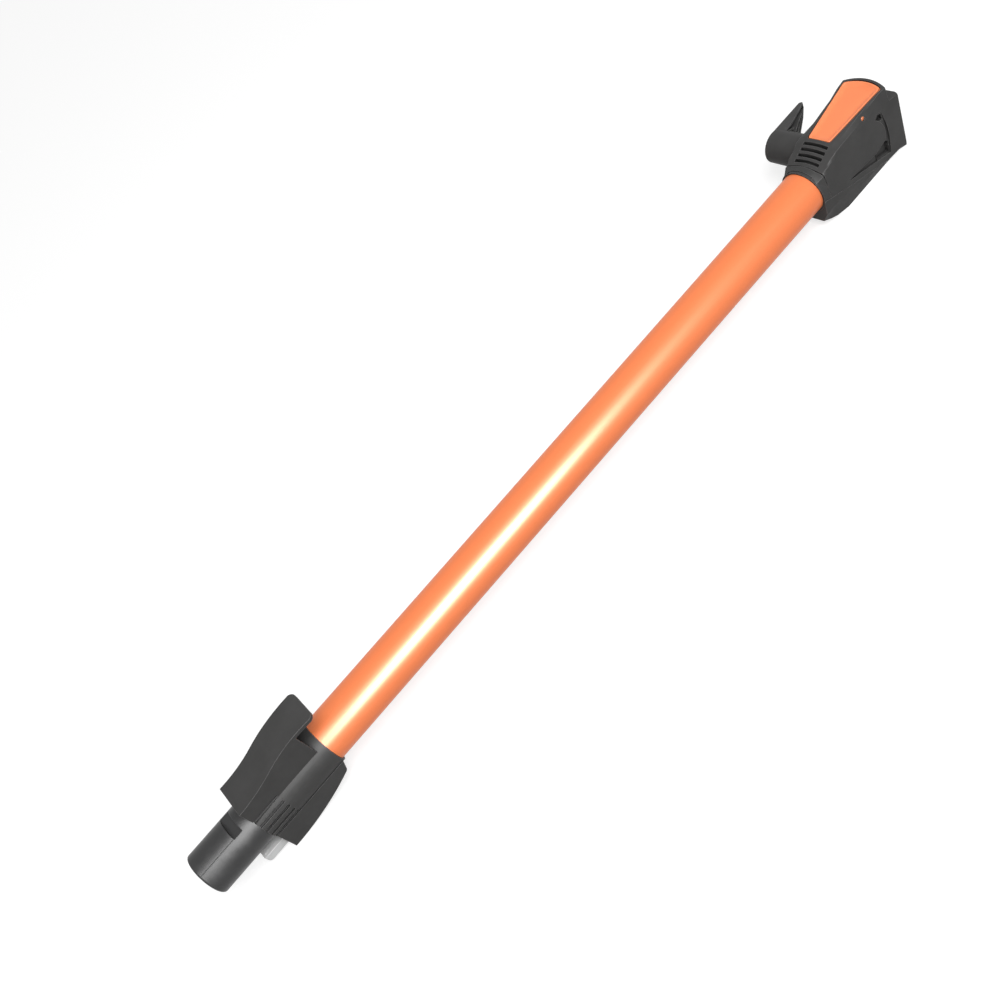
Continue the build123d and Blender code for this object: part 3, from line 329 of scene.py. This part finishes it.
nodeFinish = {
    "wand_tube": "tube",
    "spigot": "spigot",
    "spigot_gasket": "rubber",
    "lower_housing": "charcoal",
    "rear_cover": "charcoal",
    "plug_block": "pale",
    "plug_pins": "brass",
    "wire_conduit": "black",
    "live_wire": "brownWire",
    "neutral_wire": "blueWire",
    "head_shell": "charcoal",
    "head_cover": "charcoal",
    "contact_block": "black",
    "contact_sleeves": "brass",
    "socket_seal": "rubber",
    "release_button": "button",
    "button_spring": "steel",
    "cord_hook": "charcoal",
    "hook_washer": "steel",
    "hook_screw": "steel",
    "cover_screws": "steel",
    "tube_screws": "steel",
}
record = frame["record"]
bodyOf = {node: body for body, nodes in record["behaviour"]["bodies"].items() for node in nodes}


def dress(mesh, node):
    mesh.materials.clear()
    mesh.materials.append(finishes[nodeFinish[node]])


for node in nodeFinish:
    dress(frame["nodes"][node].data, node)
print("nodes dressed")

# A node whose form needs more than the CAD gives is copied, merged and cut. The copy keeps the
# node's own corner normals in a layer, so that what isn't cut is shaded as before. A corner whose
# kept normal is shorter than the least length has none of its own and is shaded flat
mergeDistance = 0.000002
leastNormal = 0.5


def startCopy(node):
    source = frame["nodes"][node].data
    form = bmesh.new()
    form.from_mesh(source)
    made = form.loops.layers.float_vector.new("made")
    normals = iter([corner.vector.copy() for corner in source.corner_normals])
    for face in form.faces:
        for loop in face.loops:
            loop[made] = next(normals)
    bmesh.ops.remove_doubles(form, verts=form.verts, dist=mergeDistance)
    return form


def finishCopy(form, pieceName, node):
    mesh = bpy.data.meshes.new(pieceName)
    form.to_mesh(mesh)
    form.free()
    mesh.polygons.foreach_set("use_smooth", [True] * len(mesh.polygons))
    made = mesh.attributes["made"].data
    normals = []
    for face in mesh.polygons:
        for corner in face.loop_indices:
            kept = made[corner].vector
            normals.append(kept.normalized() if kept.length > leastNormal else face.normal.copy())
    mesh.normals_split_custom_set(normals)
    mesh.attributes.remove(mesh.attributes["made"])
    return showPiece(mesh, pieceName, node)


# The piece takes its body and finish from the node that it belongs to
def showPiece(mesh, pieceName, node):
    dress(mesh, node)
    piece = bpy.data.objects.new(pieceName, mesh)
    bpy.context.scene.collection.objects.link(piece)
    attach(piece, bodyOf[node])
    return piece


def linkForm(form, name):
    mesh = bpy.data.meshes.new(name)
    form.to_mesh(mesh)
    form.free()
    thing = bpy.data.objects.new(name, mesh)
    bpy.context.scene.collection.objects.link(thing)
    return thing


# An exact cut. Faces that come from the cutter bring the normals kept in it, if there are any
def cutWith(form, cutterForm):
    body = linkForm(form, "cutBody")
    cutter = linkForm(cutterForm, "cutter")
    cut = body.modifiers.new("cut", "BOOLEAN")
    cut.operation = "DIFFERENCE"
    cut.solver = "EXACT"
    cut.object = cutter
    evaluated = body.evaluated_get(bpy.context.evaluated_depsgraph_get())
    form = bmesh.new()
    form.from_mesh(bpy.data.meshes.new_from_object(evaluated))
    bpy.data.objects.remove(body)
    bpy.data.objects.remove(cutter)
    return form


def addBlock(form, size, turn):
    bmesh.ops.create_cube(form, size=1, matrix=turn @ Matrix.Diagonal((*size, 1)))


# A solid whose walls join one ring of points to the next, capped at both ends unless it is closed
def addRings(form, rings, closed=False):
    loops = [[form.verts.new(point) for point in ring] for ring in rings]
    pairs = list(zip(loops, loops[1:]))
    if closed:
        pairs.append((loops[-1], loops[0]))
    else:
        form.faces.new(loops[-1])
        form.faces.new(list(reversed(loops[0])))
    for outer, inner in pairs:
        for corners in zip(outer, outer[1:] + outer[:1], inner[1:] + inner[:1], inner):
            form.faces.new(corners)
    bmesh.ops.recalc_face_normals(form, faces=form.faces)


# Lower housing: the node's grooves are filled, and five on each side are cut where the photograph
# shows them, the first on the side wall and the others round the sleeve. A slack is how near a point
# has to lie to be taken
grooves = {
    "oldFloor": 0.01822,
    "oldLength": 0.0262,
    "radius": 0.0191,
    "length": 0.0225,
    "width": 0.0021,
    "depth": 0.00125,
    "angles": (60.0, 76.0, 93.0, 109.0),
    "wallPlace": (0.0145, 0.0146),
    "wallDepth": 0.0021,
    "wallWidth": 0.0024,
    "endSlack": 0.0001,
    "floorSlack": 0.00005,
    "fillMerge": 0.00004,
    "fillSliver": 0.00001,
}


def makeHousing(setup):
    form = startCopy("lower_housing")
    for vert in form.verts:
        reach = math.hypot(vert.co.y, vert.co.z)
        beside = -setup["endSlack"] < vert.co.x < setup["oldLength"]
        if beside and abs(reach - setup["oldFloor"]) < setup["floorSlack"]:
            vert.co.y *= setup["radius"] / reach
            vert.co.z *= setup["radius"] / reach
    bmesh.ops.remove_doubles(form, verts=form.verts, dist=setup["fillMerge"])
    bmesh.ops.dissolve_degenerate(form, edges=form.edges, dist=setup["fillSliver"])
    cutter = bmesh.new()
    size = (2 * setup["length"], 2 * setup["depth"], setup["width"])
    wallSize = (2 * setup["length"], 2 * setup["wallDepth"], setup["wallWidth"])
    wallY, wallZ = setup["wallPlace"]
    for side in (-1, 1):
        for angle in setup["angles"]:
            turn = Matrix.Rotation(side * math.radians(90 - angle), 4, "X")
            addBlock(cutter, size, turn @ Matrix.Translation((0, side * setup["radius"], 0)))
        addBlock(cutter, wallSize, Matrix.Translation((0, side * wallY, wallZ)))
    piece = finishCopy(cutWith(form, cutter), "lowerHousing", "lower_housing")
    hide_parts("lower_housing")


makeHousing(grooves)
print("lower housing cut")

# Release button: the flat top gets a soft rim round a shallow dish, and a step round its edge. Each
# ring is the button's outline drawn inwards, with its depth below the top
buttonDish = {
    "start": 0.628,
    "length": 0.0546,
    "lowHalf": 0.0100,
    "highHalf": 0.0163,
    "bow": 0.0038,
    "height": 0.0262,
    "tilt": 4.8,
    "points": 40,
    "softening": 5,
    "rings": ((0.0012, -0.0008), (0.0014, 0.0), (0.0021, 0.00028), (0.0031, 0.00085), (0.0041, 0.00135),
              (0.0052, 0.00155), (0.0075, 0.00160)),
    "step": ((-0.0012, -0.0008), (0.0003, -0.0008), (0.0003, 0.0012), (-0.0012, 0.0012)),
}


def buttonRing(setup, inset, depth):
    slope = (setup["highHalf"] - setup["lowHalf"]) / setup["length"]
    lean = math.sqrt(1 + slope * slope)
    count = setup["points"]
    near, far = inset, setup["length"] - inset
    lowHalf = setup["lowHalf"] + slope * near - inset * lean
    highHalf = setup["highHalf"] + slope * (far - setup["length"]) - inset * lean
    lowEnd, leftSide, highEnd, rightSide = [], [], [], []
    for step in range(count):
        share = step / count
        across = 1 - 2 * step / count
        lowEnd.append((near, -lowHalf + 2 * lowHalf * step / count))
        leftSide.append((near + (far - near) * share, lowHalf + (highHalf - lowHalf) * share))
        highEnd.append((far + setup["bow"] * (1 - across * across), highHalf * across))
        rightSide.append((far + (near - far) * share, -highHalf + (highHalf - lowHalf) * share))
    outline = lowEnd + leftSide + highEnd + rightSide
    for turn in range(setup["softening"]):
        threes = zip(outline[-1:] + outline[:-1], outline, outline[1:] + outline[:1])
        outline = [tuple((before[axis] + 2 * here[axis] + after[axis]) / 4 for axis in (0, 1))
                   for before, here, after in threes]
    climb = math.tan(math.radians(setup["tilt"]))
    return [Vector((setup["start"] + x, y, setup["height"] + climb * x - depth)) for x, y in outline]


def makeButton(setup):
    dish = bmesh.new()
    made = dish.loops.layers.float_vector.new("made")
    addRings(dish, [buttonRing(setup, inset, depth) for inset, depth in setup["rings"]])
    for vert in dish.verts:
        below = [face.normal for face in vert.link_faces if face.normal.z < 0]
        mean = -sum(below, Vector((0, 0, 0)))
        for loop in vert.link_loops:
            loop[made] = mean.normalized() if mean.length else (0, 0, 1)
    step = bmesh.new()
    addRings(step, [buttonRing(setup, inset, depth) for inset, depth in setup["step"]], closed=True)
    form = cutWith(cutWith(startCopy("release_button"), dish), step)
    piece = finishCopy(form, "releaseButton", "release_button")
    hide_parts("release_button")


makeButton(buttonDish)
print("button dished")

# Head: the groove behind the collar stays only over the tube, and elsewhere its floor is lifted to
# the surface on either side of it
collarGroove = {
    "start": 0.607,
    "end": 0.6076,
    "floor": 0.0185,
    "keepAngle": 36.0,
    "pieces": 10,
    "planeSlack": 0.00002,
    "floorSlack": 0.00004,
    "chordSink": 0.0003,
    "aside": 0.00005,
    "outside": 0.05,
}


def makeHead(setup):
    form = startCopy("head_shell")
    made = form.loops.layers.float_vector.get("made")
    surface = BVHTree.FromBMesh(form)

    def onFloor(vert, sink):
        level = min(abs(vert.co.x - setup["start"]), abs(vert.co.x - setup["end"]))
        rise = math.hypot(vert.co.y, vert.co.z) - setup["floor"]
        angle = abs(math.degrees(math.atan2(vert.co.y, vert.co.z)))
        onPlane = level < setup["planeSlack"]
        return onPlane and -sink < rise < setup["floorSlack"] and angle > setup["keepAngle"]

    arcs = [edge for edge in form.edges
            if all(onFloor(vert, setup["floorSlack"]) for vert in edge.verts)
            and abs(edge.verts[0].co.x - edge.verts[1].co.x) < setup["planeSlack"] / 2]
    bmesh.ops.subdivide_edges(form, edges=arcs, cuts=setup["pieces"], use_grid_fill=False)
    for vert in form.verts:
        if not onFloor(vert, setup["chordSink"]):
            continue
        outward = Vector((0, vert.co.y, vert.co.z)).normalized()
        atStart = abs(vert.co.x - setup["start"]) < setup["planeSlack"]
        beside = vert.co.x - setup["aside"] if atStart else vert.co.x + setup["aside"]
        above = Vector((beside, 0, 0)) + outward * setup["outside"]
        hit, normal = surface.ray_cast(above, -outward)[:2]
        if hit and math.hypot(hit.y, hit.z) > setup["floor"]:
            vert.co = Vector((vert.co.x, hit.y, hit.z))
            for loop in vert.link_loops:
                loop[made] = normal
    bmesh.ops.remove_doubles(form, verts=form.verts, dist=mergeDistance)
    bmesh.ops.dissolve_degenerate(form, edges=form.edges, dist=mergeDistance)
    piece = finishCopy(form, "headShell", "head_shell")
    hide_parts("head_shell")


makeHead(collarGroove)
print("head shell trimmed")

# Cord hook: the horn's upper wall is cut back, its hollow runs down to the barrel and its tip is
# round. Points of the wall are given as the distance along the horn from the barrel's axis, the
# distance from the tube's axis, and the cut's lower height
hornCuts = {
    "axis": 0.637,
    "wall": ((0.0060, 0.0452, 0.01160), (0.0080, 0.0460, 0.01035), (0.0100, 0.0468, 0.00885),
             (0.0154, 0.0489, 0.00760), (0.0238, 0.0522, 0.00570), (0.0321, 0.0559, 0.00375),
             (0.0388, 0.0589, 0.00220), (0.0439, 0.0613, 0.00105), (0.0455, 0.0620, 0.00070)),
    "barrelRadius": 0.01305,
    "hollowHalf": 0.0088,
    "hollowEnd": (0.0154, 0.00765),
    "hollowFloor": 0.0557,
    "tip": ((0.0400, 0.0665), (0.0415, 0.06477), (0.0436, 0.0646), (0.0452, 0.0638), (0.04605, 0.0625),
            (0.0463, 0.0610), (0.0500, 0.0610), (0.0500, 0.0680), (0.0400, 0.0680)),
    "inside": 0.040,
    "above": 0.016,
    "steps": 12,
}


def makeHook(setup):
    axis, inside, above = setup["axis"], setup["inside"], setup["above"]
    edge = [(axis + x, y, z) for x, y, z in setup["wall"]]
    edge += [(axis + x, inside, z) for x, y, z in (setup["wall"][-1], setup["wall"][0])]
    wall = bmesh.new()
    addRings(wall, [edge, [(x, y, above) for x, y, z in edge]])
    half, radius, steps = setup["hollowHalf"], setup["barrelRadius"], setup["steps"]
    heights = [half * (2 * step / steps - 1) for step in range(steps + 1)]
    end, endHalf = setup["hollowEnd"]
    outline = [(math.sqrt(radius * radius - z * z), z) for z in heights]
    outline += [(end, endHalf), (end, -endHalf)]
    hollow = bmesh.new()
    addRings(hollow, [[(axis + x, y, z) for x, z in outline] for y in (inside, setup["hollowFloor"])])
    tip = bmesh.new()
    addRings(tip, [[(axis + x, y, z) for x, y in setup["tip"]] for z in (-above, above)])
    form = startCopy("cord_hook")
    for cutter in (wall, hollow, tip):
        form = cutWith(form, cutter)
    piece = finishCopy(form, "cordHook", "cord_hook")
    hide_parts("cord_hook")


makeHook(hornCuts)
print("cord hook cut")

# Geometry Nodes: what repeats or follows a path. Each tree gets named inputs and ends in real faces
smoothAngle = math.radians(40)


def newTree(name, inputs):
    tree = bpy.data.node_groups.new(name, "GeometryNodeTree")
    tree.interface.new_socket("Geometry", in_out="INPUT", socket_type="NodeSocketGeometry")
    kinds = {float: "NodeSocketFloat", int: "NodeSocketInt"}
    for label, value in inputs.items():
        tree.interface.new_socket(label, in_out="INPUT", socket_type=kinds[type(value)])
    tree.interface.new_socket("Geometry", in_out="OUTPUT", socket_type="NodeSocketGeometry")
    return tree, tree.nodes.new("NodeGroupInput").outputs


def addNode(tree, kind, links=None, values=None, **settings):
    node = tree.nodes.new(kind)
    for name, value in settings.items():
        setattr(node, name, value)
    for name, value in (values or {}).items():
        node.inputs[name].default_value = value
    for name, source in (links or {}).items():
        tree.links.new(source, node.inputs[name])
    return node.outputs[0]


def addVector(tree, **parts):
    return addNode(tree, "ShaderNodeCombineXYZ", parts)


def addLifted(tree, geometry, height):
    lift = addVector(tree, Z=height)
    return addNode(tree, "GeometryNodeTransform", {"Geometry": geometry, "Translation": lift})


def addJoined(tree, kind, socket, parts, **settings):
    joined = addNode(tree, kind, **settings)
    for part in parts:
        tree.links.new(part, joined.node.inputs[socket])
    return joined


# A round bar along a curve
def addSwept(tree, curve, radius, sides):
    section = addNode(tree, "GeometryNodeCurvePrimitiveCircle", {"Radius": radius}, {"Resolution": sides})
    return addNode(tree, "GeometryNodeCurveToMesh", {"Curve": curve, "Profile Curve": section},
                   {"Fill Caps": True})


# The last nodes of every tree: a copy on each seat, made real and given its material
def endTree(tree, seats, shape, finish, **turn):
    placed = addNode(tree, "GeometryNodeInstanceOnPoints", {"Points": seats, "Instance": shape, **turn})
    realized = addNode(tree, "GeometryNodeRealizeInstances", {"Geometry": placed})
    painted = addNode(tree, "GeometryNodeSetMaterial", {"Geometry": realized}, {"Material": finishes[finish]})
    tree.links.new(painted, tree.nodes.new("NodeGroupOutput").inputs[0])
    return tree


def runTree(tree, values, pieceName, node, seats=((0, 0, 0),)):
    seatMesh = bpy.data.meshes.new(pieceName + "Seats")
    seatMesh.from_pydata([Vector(seat) for seat in seats], [], [])
    piece = bpy.data.objects.new(pieceName, seatMesh)
    bpy.context.scene.collection.objects.link(piece)
    maker = piece.modifiers.new("maker", "NODES")
    maker.node_group = tree
    for socket in tree.interface.items_tree:
        if socket.in_out == "INPUT" and socket.name in values:
            maker[socket.identifier] = values[socket.name]
    evaluated = piece.evaluated_get(bpy.context.evaluated_depsgraph_get())
    mesh = bpy.data.meshes.new_from_object(evaluated)
    bpy.data.objects.remove(piece)
    form = bmesh.new()
    form.from_mesh(mesh)
    bmesh.ops.remove_doubles(form, verts=form.verts, dist=mergeDistance)
    bmesh.ops.recalc_face_normals(form, faces=form.faces)
    for face in form.faces:
        face.smooth = True
    for edge in form.edges:
        edge.smooth = edge.calc_face_angle(0) < smoothAngle
    form.to_mesh(mesh)
    form.free()
    mesh.name = pieceName
    return showPiece(mesh, pieceName, node)


# Screws: two short cones make the head, with a cross cut into it, a long one the shank, and a spiral
# the thread. The shares multiply a length of the screw
screwLook = {
    "Head Radius": 0.0027,
    "Head Height": 0.0020,
    "Shank Radius": 0.00145,
    "Shank Length": 0.0095,
    "Thread Pitch": 0.0011,
    "Cross Length": 0.0032,
    "Cross Width": 0.0008,
    "Cross Depth": 0.0009,
    "Turn X": 0.0,
}
screwShares = {
    "chamferTop": 0.72,
    "chamferHeight": 0.35,
    "rimFoot": 0.96,
    "rimHeight": 0.65,
    "shankTip": 0.55,
    "shankTop": 0.80,
    "shankLift": -1.0,
    "crossDepth": 2.0,
    "threadTip": 0.60,
    "threadTop": 0.80,
    "threadHeight": 0.97,
    "threadRidge": 0.20,
    "threadLift": -0.98,
}
headSides = 40
shankSides = 24


def screwTree(look, shares):
    tree, given = newTree("screwMaker", look)

    def part(label, share):
        return addMath(tree, "MULTIPLY", given[label], shares[share])

    chamfer = addNode(tree, "GeometryNodeMeshCone", {
        "Radius Bottom": given["Head Radius"],
        "Radius Top": part("Head Radius", "chamferTop"),
        "Depth": part("Head Height", "chamferHeight"),
    }, {"Vertices": headSides})
    rim = addNode(tree, "GeometryNodeMeshCone", {
        "Radius Bottom": part("Head Radius", "rimFoot"),
        "Radius Top": given["Head Radius"],
        "Depth": part("Head Height", "rimHeight"),
    }, {"Vertices": headSides})
    shank = addNode(tree, "GeometryNodeMeshCone", {
        "Radius Bottom": part("Shank Radius", "shankTip"),
        "Radius Top": part("Shank Radius", "shankTop"),
        "Depth": given["Shank Length"],
    }, {"Vertices": shankSides})
    solids = (
        addLifted(tree, chamfer, part("Head Height", "rimHeight")),
        rim,
        addLifted(tree, shank, part("Shank Length", "shankLift")),
    )
    whole = addJoined(tree, "GeometryNodeMeshBoolean", "Mesh 2", solids, operation="UNION")
    bars = []
    for along, across in (("X", "Y"), ("Y", "X")):
        size = addVector(tree, **{
            along: given["Cross Length"],
            across: given["Cross Width"],
            "Z": part("Cross Depth", "crossDepth"),
        })
        bar = addNode(tree, "GeometryNodeMeshCube", {"Size": size})
        bars.append(addLifted(tree, bar, given["Head Height"]))
    crossed = addJoined(tree, "GeometryNodeMeshBoolean", "Mesh 2", bars,
                        links={"Mesh 1": whole}, operation="DIFFERENCE")
    helix = addNode(tree, "GeometryNodeCurveSpiral", {
        "Rotations": addMath(tree, "DIVIDE", given["Shank Length"], given["Thread Pitch"]),
        "Start Radius": part("Shank Radius", "threadTip"),
        "End Radius": part("Shank Radius", "threadTop"),
        "Height": part("Shank Length", "threadHeight"),
    }, {"Resolution": 20})
    thread = addSwept(tree, helix, part("Shank Radius", "threadRidge"), sides=3)
    thread = addLifted(tree, thread, part("Shank Length", "threadLift"))
    screw = addJoined(tree, "GeometryNodeJoinGeometry", "Geometry", (crossed, thread))
    turn = addVector(tree, X=given["Turn X"])
    return endTree(tree, given["Geometry"], screw, "steel", Rotation=turn)


# The heads of the cover and tube screws face down, and the hook screw's faces away from the tube
screwPlaces = {
    "coverX": (0.031, 0.640),
    "coverY": (-0.011, 0.011),
    "coverLength": 0.0095,
    "tubeX": (0.027, 0.627),
    "tubeLength": 0.0038,
    "hookX": 0.637,
    "hookLength": 0.0075,
}
facingDown = math.pi
facingOut = -math.pi / 2
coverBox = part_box("cover_screws")
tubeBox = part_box("tube_screws")
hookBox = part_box("hook_screw")
headHeight = screwLook["Head Height"]
coverHeight = coverBox[0][2] + headHeight
tubeHeight = tubeBox[0][2] + headHeight
coverSeats = [(x, y, coverHeight) for x in screwPlaces["coverX"] for y in screwPlaces["coverY"]]
tubeSeats = [(x, 0, tubeHeight) for x in screwPlaces["tubeX"]]
hookSeats = [(screwPlaces["hookX"], hookBox[1][1] - headHeight, 0)]
screws = screwTree(screwLook, screwShares)
for pieceName, node, seats, length, turn in (
    ("coverScrews", "cover_screws", coverSeats, screwPlaces["coverLength"], facingDown),
    ("tubeScrews", "tube_screws", tubeSeats, screwPlaces["tubeLength"], facingDown),
    ("hookScrew", "hook_screw", hookSeats, screwPlaces["hookLength"], facingOut),
):
    values = {**screwLook, "Shank Length": length, "Turn X": turn}
    piece = runTree(screws, values, pieceName, node, seats)
    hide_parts(node)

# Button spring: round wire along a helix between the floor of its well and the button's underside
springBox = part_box("button_spring")
wireRadius = 0.0004
springLook = {
    "Wire Radius": wireRadius,
    "Coil Radius": (springBox[1][0] - springBox[0][0]) / 2 - wireRadius,
    "Height": springBox[1][2] - springBox[0][2] - 2 * wireRadius,
    "Turns": 4.0,
}


def springTree(look):
    tree, given = newTree("springMaker", look)
    helix = addNode(tree, "GeometryNodeCurveSpiral", {
        "Rotations": given["Turns"],
        "Start Radius": given["Coil Radius"],
        "End Radius": given["Coil Radius"],
        "Height": given["Height"],
    }, {"Resolution": 40})
    wire = addSwept(tree, helix, given["Wire Radius"], sides=10)
    return endTree(tree, given["Geometry"], wire, "steel")


springMiddle = (springBox[0][0] + springBox[1][0]) / 2
springSeat = (springMiddle, 0, springBox[0][2] + wireRadius)
spring = runTree(springTree(springLook), springLook, "buttonSpring", "button_spring", [springSeat])
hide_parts("button_spring")
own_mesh(spring)
print("button spring wound")

# Mould lines: two fine beads along the spigot, on opposite sides of it
mouldLine = {
    "Spigot Radius": 0.0175,
    "Bead Radius": 0.00034,
    "Length": 0.0302,
    "Start": -0.0474,
    "First Angle": math.radians(35),
    "Count": 2,
}


def mouldLineTree(look):
    tree, given = newTree("mouldLineMaker", look)
    end = addVector(tree, X=given["Length"])
    line = addNode(tree, "GeometryNodeCurvePrimitiveLine", {"End": end}, mode="POINTS")
    bead = addSwept(tree, line, given["Bead Radius"], sides=8)
    points = addNode(tree, "GeometryNodeMeshLine", {"Count": given["Count"]})
    number = addNode(tree, "GeometryNodeInputIndex")
    share = addMath(tree, "DIVIDE", 2 * math.pi, given["Count"])
    angle = addMath(tree, "ADD", given["First Angle"], addMath(tree, "MULTIPLY", number, share))
    across = addMath(tree, "MULTIPLY", addMath(tree, "SINE", angle), given["Spigot Radius"])
    height = addMath(tree, "MULTIPLY", addMath(tree, "COSINE", angle), given["Spigot Radius"])
    spot = addVector(tree, X=given["Start"], Y=addMath(tree, "MULTIPLY", across, -1), Z=height)
    seats = addNode(tree, "GeometryNodeSetPosition", {"Geometry": points, "Position": spot})
    return endTree(tree, seats, bead, "spigot")


runTree(mouldLineTree(mouldLine), mouldLine, "spigotMouldLines", "spigot")
print("mould lines drawn")

# Floor and light: a soft box beside the camera gives the long highlight down the tube's lower half.
# The key box lights the wand, and the other two give highlights and nothing else
studio = {
    "floorSize": 12.0,
    "floorMiddle": 0.3,
    "floorGap": 0.0002,
    "floorTone": 0.40,
    "floorRough": 0.9,
    "floorLift": 0.72,
    "skyStrength": 0.47,
    "rest": -0.0312,
}
softBoxes = {
    "keyBox": {"place": (0.35, -0.85, 1.35), "aim": (0.35, 0.0, 0.0), "size": (1.0, 1.0),
               "power": 20.5, "diffuse": True},
    "stripBox": {"place": (0.24, -0.555, 0.458), "aim": (0.24, 0.0, 0.0), "size": (0.48, 0.40),
                 "power": 62.0, "diffuse": False},
    "endBox": {"place": (-0.20, -0.37, 0.615), "aim": (-0.20, 0.0, 0.0), "size": (0.34, 0.34),
               "power": 3.8, "diffuse": False},
}


# The strength counts for camera, glossy and transmission rays, not for the rays that light the wand
def addSeenLight(tree, strength):
    path = tree.nodes.new("ShaderNodeLightPath").outputs
    seen = addMath(tree, "MAXIMUM", path["Is Camera Ray"], path["Is Glossy Ray"])
    seen = addMath(tree, "MAXIMUM", seen, path["Is Transmission Ray"])
    return addMath(tree, "MULTIPLY", seen, strength)


def addFloor(setup):
    form = bmesh.new()
    bmesh.ops.create_grid(form, x_segments=1, y_segments=1, size=setup["floorSize"] / 2)
    height = setup["rest"] - setup["floorGap"]
    bmesh.ops.translate(form, verts=form.verts, vec=(setup["floorMiddle"], 0, height))
    floor = linkForm(form, "studioFloor")
    material, tree, shader = newMaterial("floorPaper")[:3]
    tone = setup["floorTone"]
    shader.inputs["Base Color"].default_value = (tone, tone, tone, 1)
    shader.inputs["Roughness"].default_value = setup["floorRough"]
    shader.inputs["Specular IOR Level"].default_value = 0
    shader.inputs["Emission Color"].default_value = (1, 1, 1, 1)
    tree.links.new(addSeenLight(tree, setup["floorLift"]), shader.inputs["Emission Strength"])
    floor.data.materials.append(material)


def addSky(setup):
    world = bpy.data.worlds.new("studioSky")
    bpy.context.scene.world = world
    world.use_nodes = True
    tree = world.node_tree
    sky = tree.nodes["Background"]
    sky.inputs["Color"].default_value = (1, 1, 1, 1)
    seen = addSeenLight(tree, 1 - setup["skyStrength"])
    tree.links.new(addMath(tree, "ADD", seen, setup["skyStrength"]), sky.inputs["Strength"])


def addSoftBox(name, setup):
    data = bpy.data.lights.new(name, "AREA")
    data.shape = "RECTANGLE"
    data.size, data.size_y = setup["size"]
    data.energy = setup["power"]
    lamp = bpy.data.objects.new(name, data)
    lamp.location = setup["place"]
    facing = Vector(setup["aim"]) - Vector(setup["place"])
    lamp.rotation_euler = facing.to_track_quat("-Z", "Y").to_euler()
    lamp.visible_diffuse = setup["diffuse"]
    bpy.context.scene.collection.objects.link(lamp)


addFloor(studio)
addSky(studio)
for name, setup in softBoxes.items():
    addSoftBox(name, setup)
print("studio built")

bpy.context.scene.view_settings.view_transform = "Standard"
